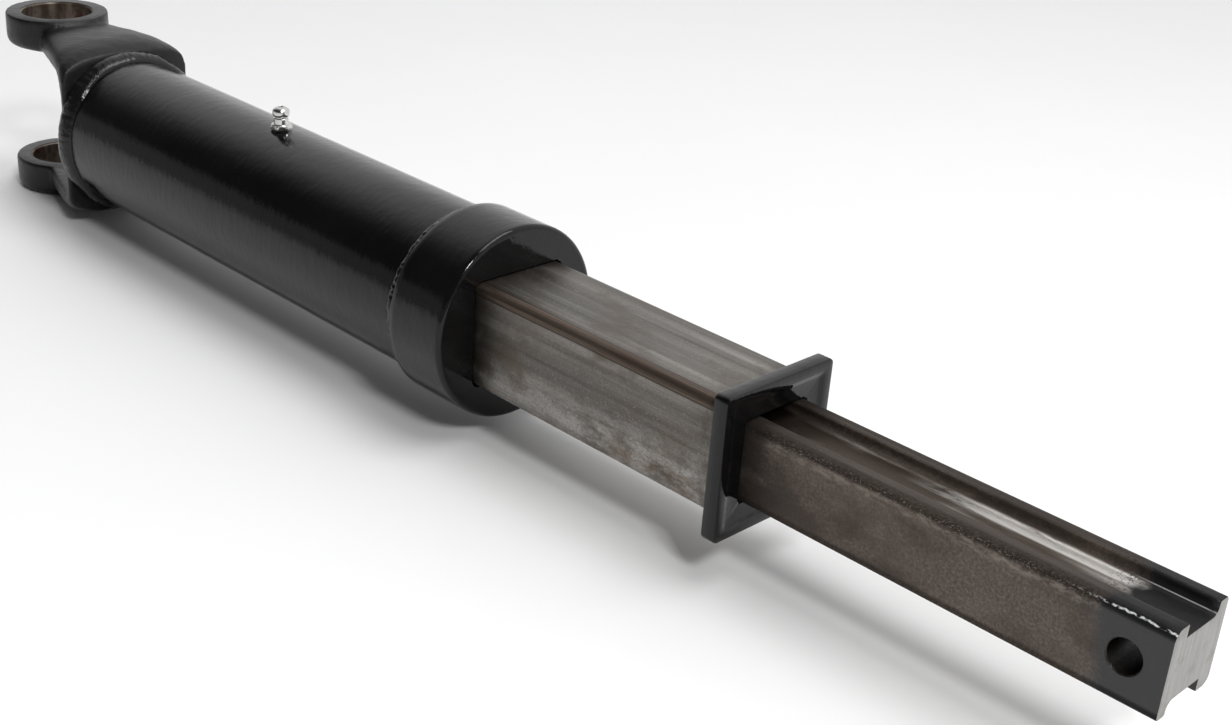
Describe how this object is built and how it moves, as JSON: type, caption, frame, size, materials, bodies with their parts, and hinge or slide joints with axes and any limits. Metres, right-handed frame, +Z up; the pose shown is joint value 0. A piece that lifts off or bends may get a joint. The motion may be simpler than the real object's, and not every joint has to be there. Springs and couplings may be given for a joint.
{
  "type": "telescopic drive shaft",
  "caption": "Telescopic drive shaft: weld yoke on a greased round tube, a square tube sliding in its end collar, and a grooved square bar sliding in the square tube.",
  "frame": {"origin": "joint centre of the yoke: the point on the shaft axis midway between the two ears, on the axis of their bores", "axes": "+X along the shaft from the yoke to the free end of the bar; +Z up through the yoke's bores; +Y across"},
  "size_m": [0.5912, 0.0706, 0.0811],
  "materials": {
    "forged_black": "satin black paint over a rough forging, bare bores",
    "gloss_black_paint": "gloss black paint",
    "drawn_steel": "bare cold-drawn steel, streaked along its length, oily and slightly rusted",
    "bar_steel": "rough bare steel, machined grooves, end dipped in black paint",
    "zinc_plate": "bright zinc plate",
    "dark_steel": "oiled dark steel",
    "rubber_seal": "greasy black rubber"
  },
  "bodies": {
    "outer": {"yoke": "forged_black", "yoke_weld_bead": "forged_black", "outer_tube": "gloss_black_paint", "end_collar": "gloss_black_paint", "collar_weld_bead": "gloss_black_paint", "collar_wiper": "rubber_seal", "grease_nipple": "zinc_plate", "nipple_spring": "dark_steel"},
    "middle": {"square_tube": "drawn_steel", "end_plate": "gloss_black_paint", "end_plate_weld_bead": "gloss_black_paint", "tube_rear_stop": "dark_steel", "stop_pin_rear": "dark_steel", "stop_pin_front": "dark_steel"},
    "inner": {"inner_bar": "bar_steel", "bar_guide_block": "dark_steel", "guide_block_washer": "zinc_plate", "guide_block_screw": "dark_steel"},
    "check_ball": {"nipple_ball": "zinc_plate"}
  },
  "joints": [
    {"name": "tube_slide", "type": "slide", "parent": "outer", "child": "middle", "axis": [1, 0, 0], "range_m": [-0.1095, 0.099]},
    {"name": "bar_slide", "type": "slide", "parent": "middle", "child": "inner", "axis": [1, 0, 0], "range_m": [-0.0965, 0.0938]},
    {"name": "ball_slide", "type": "slide", "parent": "outer", "child": "check_ball", "axis": [0, 0, 1], "range_m": [-0.0006, 0], "stiffness_N_per_m": 300, "springref_m": 0.001, "deforming": ["nipple_spring"]}
  ]
}
